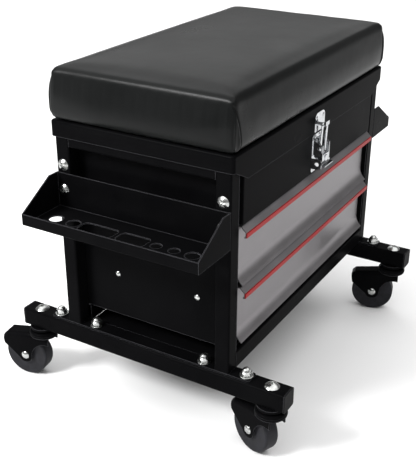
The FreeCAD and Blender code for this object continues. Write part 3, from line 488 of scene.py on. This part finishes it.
def shape_foam(piece, low, high, cushion):
    """Crowns the foam's top and leans its sides in above the middle, more between the corners."""
    middle, half = (low + high) / 2, (high - low) / 2
    rise, lean = cushion.crown * MM, cushion.lean * MM
    for v in piece.data.vertices:
        x, y = (v.co.x - middle.x) / half.x, (v.co.y - middle.y) / half.y
        up = (v.co.z - low.z) / (high.z - low.z)
        over = soft_step(up, 0.45, 1.1) + 0.35 * (1 - soft_step(up, 0.0, 0.22))
        v.co.z += rise * max(0.0, 1 - x ** 4) * max(0.0, 1 - y ** 4) * max(0.0, up) ** 2
        end, side = (1 if x > 0 else -1), (1 if y > 0 else -1)
        v.co.x -= lean * over * soft_step(abs(x), 0.85, 1.0) * (1 - 0.5 * abs(y) ** 8) * end
        v.co.y -= lean * over * soft_step(abs(y), 0.75, 1.0) * (1 - 0.5 * abs(x) ** 12) * side


def swell_cover(piece, cushion):
    """Lets the cover swell over its foam, held along its underside, and keeps the result."""
    before = [v.co.copy() for v in piece.data.vertices]
    outward = [v.normal.copy() for v in piece.data.vertices]
    floor_z = min(p.z for p in before) + HELD_STRIP
    held = piece.vertex_groups.new(name="held")
    held.add([i for i, p in enumerate(before) if p.z < floor_z], 1.0, "REPLACE")
    cloth = piece.modifiers.new("Cover", "CLOTH")
    cloth.settings.use_pressure = True
    cloth.settings.uniform_pressure_force = cushion.pressure
    cloth.settings.vertex_group_mass = "held"
    cloth.settings.effector_weights.gravity = 0
    scene = bpy.context.scene
    for step in range(1, cushion.steps + 1):
        scene.frame_set(step)
    seen = piece.evaluated_get(bpy.context.evaluated_depsgraph_get())
    swollen = [v.co.copy() for v in seen.data.vertices]
    piece.modifiers.remove(cloth)
    scene.frame_set(1)
    most, least = cushion.swell * MM, cushion.sink * MM
    moves = []
    for i, start in enumerate(before):
        move = (swollen[i] - start).dot(outward[i])
        limit = most if move > 0 else least
        moves.append(limit * math.tanh(move / limit))
    for move, v, start, out in zip(evened(piece, moves, EVEN_ROUNDS), piece.data.vertices, before, outward):
        v.co = start + out * move
    piece.vertex_groups.clear()
    use_modifier(piece, "SMOOTH", factor=0.5, iterations=2)


def soft_step(x, low, high):
    t = max(0.0, min(1.0, (x - low) / (high - low)))
    return t * t * (3 - 2 * t)


def fold_corners(piece, low, high, cushion):
    """Folds the cover at the four corners, as a sheet wrapped over a box is, and gathers it at the ends.

    The flap lies on the long side: its free edge leaves the corner at the top and runs down and away
    from it, with a crease beside it, and the corner itself is a raised ridge."""
    depth, place, ridge = cushion.pleat_depth * MM, cushion.pleat_place * MM, cushion.ridge * MM
    for v in piece.data.vertices:
        p = v.co
        from_end = min(p.x - low.x, high.x - p.x)
        from_side = min(p.y - low.y, high.y - p.y)
        side = 1 if p.y > (low.y + high.y) / 2 else -1
        end = 1 if p.x > (low.x + high.x) / 2 else -1
        up = (p.z - low.z) / (high.z - low.z)
        on_side = 1 - soft_step(from_side, FOLD_NEAR, FOLD_FAR)
        on_end = 1 - soft_step(from_end, FOLD_NEAR, FOLD_FAR)
        fade = soft_step(up, -0.02, 0.06) * (1 - soft_step(up, 0.9, 0.99))
        if from_end < FOLD_REACH and on_side > 0:
            crease = CREASE_TOP + place * math.sqrt(max(0.0, 1 - up))
            dip = math.exp(-((from_end - crease) / CREASE_WIDTH) ** 2)
            flap = soft_step(from_end, crease - FLAP_WIDTH, crease - FLAP_EDGE) * (from_end < crease)
            p.y += side * on_side * fade * (flap * FLAP_LIFT * MM - dip * depth)
        if from_side < END_REACH and on_end > 0:
            dip = math.exp(-((from_side - END_CREASE_PLACE) / END_CREASE_WIDTH) ** 2)
            p.x -= end * on_end * fade * dip * END_CREASE_SHARE * depth
        corner = on_side * on_end * fade
        if corner > 0:
            p.x += end * ridge * corner * CORNER_SHARE
            p.y += side * ridge * corner * CORNER_SHARE
        if on_end > 0:
            y = p.y / MM
            ripple = math.sin(y * 0.41) + 0.6 * math.sin(y * 0.83 + 1.7) + 0.5 * math.sin(y * 1.57 + 0.6)
            where = soft_step(up, 0.3, 0.75) * (1 - soft_step(up, 0.85, 0.97))
            p.x += end * on_end * RIPPLE_HEIGHT * MM * ripple * where


class SEAT_OT_cushion(bpy.types.Operator):
    """Make the padded seat: a foam block whose vinyl cover swells, folded at the corners"""
    bl_idname = "seat.cushion"
    bl_label = "Cushion"

    def execute(self, context):
        cushion = context.scene.seat_cushion
        low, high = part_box("cushion")
        inset = cushion.inset * MM
        shrink = Vector((inset, inset, 0))
        raised = Vector((0, 0, cushion.stand * MM))
        block = foam_block("seat_cushion", low + shrink, high - shrink + raised, cushion.edge * MM)
        use_modifier(block, "REMESH", mode="VOXEL", voxel_size=cushion.voxel * MM)
        shape_foam(block, low, high, cushion)
        swell_cover(block, cushion)
        use_modifier(block, "SUBSURF", levels=1, render_levels=1)
        self.refine_corners(block, low, high)
        fold_corners(block, low, high, cushion)
        self.recess_board(block)
        block.data.materials.append(finish_for("seat_vinyl"))
        bpy.ops.object.shade_smooth()
        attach(block, "lid")
        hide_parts("cushion")
        return {"FINISHED"}

    def refine_corners(self, piece, low, high):
        """Gives the cover finer faces where it is folded."""
        pick(piece)
        bpy.ops.object.mode_set(mode="EDIT")

        def folded(p, n):
            from_end, from_side = min(p.x - low.x, high.x - p.x), min(p.y - low.y, high.y - p.y)
            near_side = from_end < FINE_ALONG and from_side < FINE_ACROSS
            near_end = from_end < FINE_ACROSS and from_side < FINE_END
            return (near_side or near_end) and p.z > low.z + FINE_ABOVE

        select_where(piece, "FACE", folded)
        bpy.ops.mesh.subdivide(number_cuts=2, smoothness=0.0)
        bpy.ops.object.mode_set(mode="OBJECT")

    def recess_board(self, piece):
        """Cuts the pocket that the seat board fills."""
        a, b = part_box("seat_board")
        deselect()
        gap = Vector((BOARD_GAP, BOARD_GAP, BOARD_GAP))
        bpy.ops.mesh.primitive_cube_add(size=1, location=(a + b) / 2 - Vector((0, 0, CUT_PAST)))
        cutter = bpy.context.object
        cutter.scale = b - a + 2 * gap + Vector((0, 0, 2 * CUT_PAST))
        settle(cutter)
        use_modifier(piece, "BOOLEAN", operation="DIFFERENCE", object=cutter, solver="EXACT")
        bpy.data.objects.remove(cutter, do_unlink=True)
        pick(piece)


# ------------------------------------------------------------------ stage
MIDDLE = (0, 0, 0.25)
CUSHION_CORNER = (-0.22, -0.1, 0.43)
# name, place, what it points at, width and height in metres, power in watts
LIGHTS = (
    ("overhead_soft", (0, 0, 5.0), (0, 0, 0), 10, 10, 560),
    ("front_key", (0.7, -2.6, 1.5), MIDDLE, 1.4, 1.4, 5),
    ("left_strip", (-1.7, 0.85, 1.6), CUSHION_CORNER, 0.6, 0.5, 56),
    ("back_soft", (2.5, 1.4, 1.7), MIDDLE, 3.0, 1.2, 9),
)


def area_light(name, place, target, size, size_y, power):
    data = bpy.data.lights.new(name, "AREA")
    data.shape = "RECTANGLE"
    data.size = size
    data.size_y = size_y
    data.energy = power
    lamp = bpy.data.objects.new(name, data)
    bpy.context.scene.collection.objects.link(lamp)
    lamp.location = place
    lamp.rotation_euler = (Vector(target) - Vector(place)).to_track_quat("-Z", "Y").to_euler()
    return lamp


class SEAT_OT_stage(bpy.types.Operator):
    """Set up the pale floor, the soft studio light and the camera"""
    bl_idname = "seat.stage"
    bl_label = "Stage"

    def execute(self, context):
        stage = context.scene.seat_stage
        deselect()
        bpy.ops.mesh.primitive_plane_add(size=40, location=(0, 0, -0.2 * MM))
        floor = new_piece("studio_floor", floor_paper(stage))
        settle(floor)
        self.world()
        self.lights()
        self.camera(stage)
        return {"FINISHED"}

    def world(self):
        world = bpy.data.worlds.new("studio")
        world.use_nodes = True
        bpy.context.scene.world = world
        bpy.context.scene.view_settings.view_transform = "Standard"
        back = world.node_tree.nodes["Background"]
        back.inputs["Color"].default_value = linear("ffffff")
        back.inputs["Strength"].default_value = WORLD_STRENGTH

    def lights(self):
        for light in LIGHTS:
            area_light(*light)

    def camera(self, stage):
        data = bpy.data.cameras.new("camera")
        data.sensor_width = 36
        data.lens = stage.lens
        data.clip_start, data.clip_end = 0.02, 60
        cam = bpy.data.objects.new("camera", data)
        bpy.context.scene.collection.objects.link(cam)
        a, e = math.radians(stage.azimuth), math.radians(stage.elevation)
        back = Vector((math.sin(a) * math.cos(e), -math.cos(a) * math.cos(e), math.sin(e)))
        turn = (-back).to_track_quat("-Z", "Y").to_matrix().to_4x4()
        roll = Matrix.Rotation(math.radians(stage.roll), 4, "Z")
        cam.matrix_world = Matrix.Translation(stage.camera_place) @ turn @ roll
        bpy.context.scene.camera = cam


# ------------------------------------------------------------------ panel and start
class SEAT_PT_panel(bpy.types.Panel):
    """Steps of the seat's looks, in order"""
    bl_idname = "SEAT_PT_panel"
    bl_label = "Rolling seat"
    bl_space_type = "VIEW_3D"
    bl_region_type = "UI"
    bl_category = "Seat"

    def draw(self, context):
        for step in STEPS:
            self.layout.operator(step.bl_idname)
        for group in (context.scene.seat_finishes, context.scene.seat_cushion, context.scene.seat_stage):
            box = self.layout.box()
            for key in group.__annotations__:
                box.prop(group, key)


STEPS = (SEAT_OT_finishes, SEAT_OT_cushion, SEAT_OT_stage)
CLASSES = (SeatFinishes, SeatCushion, SeatStage, *STEPS, SEAT_PT_panel)


def register():
    for cls in CLASSES:
        bpy.utils.register_class(cls)
    bpy.types.Scene.seat_finishes = PointerProperty(type=SeatFinishes)
    bpy.types.Scene.seat_cushion = PointerProperty(type=SeatCushion)
    bpy.types.Scene.seat_stage = PointerProperty(type=SeatStage)


def unregister():
    del bpy.types.Scene.seat_finishes
    del bpy.types.Scene.seat_cushion
    del bpy.types.Scene.seat_stage
    for cls in reversed(CLASSES):
        bpy.utils.unregister_class(cls)


def main():
    register()
    for step in STEPS:
        group, name = step.bl_idname.split(".")
        getattr(getattr(bpy.ops, group), name)()


if __name__ == "__main__":
    main()
